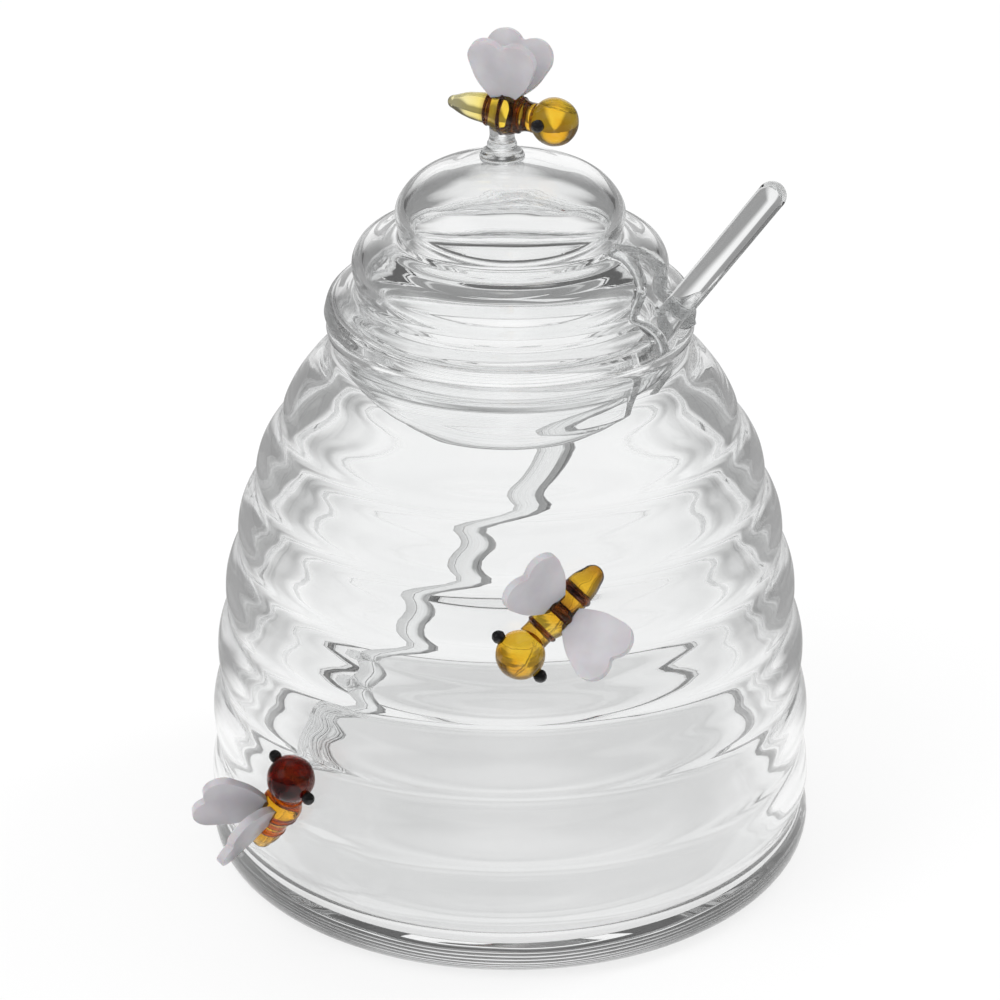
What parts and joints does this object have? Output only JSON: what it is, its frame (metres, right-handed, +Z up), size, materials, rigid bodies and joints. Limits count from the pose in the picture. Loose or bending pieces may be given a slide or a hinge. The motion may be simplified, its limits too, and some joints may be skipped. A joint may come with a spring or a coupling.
{
  "type": "beehive-shaped glass storage jar with dipper",
  "caption": "Clear glass jar blown as a ringed beehive, with a tiered dome lid, a rod dipper leaning in the lid's notch, and small lampworked glass bees on the lid and wall.",
  "frame": {"origin": "centre of the jar's flat foot, on the surface it stands on", "axes": "+Z up along the jar's axis; +X towards the lid's notch and the dipper's upper end; the front bee is on the -Y side"},
  "size_m": [0.107, 0.1119, 0.1488],
  "materials": {
    "jar_glass": "polished",
    "lid_glass": "polished",
    "rod_glass": "polished",
    "amber_glass": "polished",
    "dark_amber_glass": "polished",
    "brown_glass": "polished",
    "opal_glass": "polished",
    "black_glass": "polished"
  },
  "bodies": {
    "root": {"bee_finial_band_1": "brown_glass", "bee_finial_band_2": "brown_glass", "bee_finial_band_3": "brown_glass", "bee_finial_body": "amber_glass", "bee_finial_eye_left": "black_glass", "bee_finial_eye_right": "black_glass", "bee_finial_head": "amber_glass", "bee_finial_wing_left": "opal_glass", "bee_finial_wing_right": "opal_glass", "bee_front_band_1": "brown_glass", "bee_front_band_2": "brown_glass", "bee_front_band_3": "brown_glass", "bee_front_body": "amber_glass", "bee_front_eye_left": "black_glass", "bee_front_eye_right": "black_glass", "bee_front_head": "amber_glass", "bee_front_wing_left": "opal_glass", "bee_front_wing_right": "opal_glass", "bee_side_band_1": "brown_glass", "bee_side_band_2": "brown_glass", "bee_side_band_3": "brown_glass", "bee_side_body": "amber_glass", "bee_side_eye_left": "black_glass", "bee_side_eye_right": "black_glass", "bee_side_head": "dark_amber_glass", "bee_side_wing_left": "opal_glass", "bee_side_wing_right": "opal_glass", "dipper": "rod_glass", "jar": "jar_glass", "lid": "lid_glass", "lid_stem": "lid_glass"}
  },
  "joints": []
}
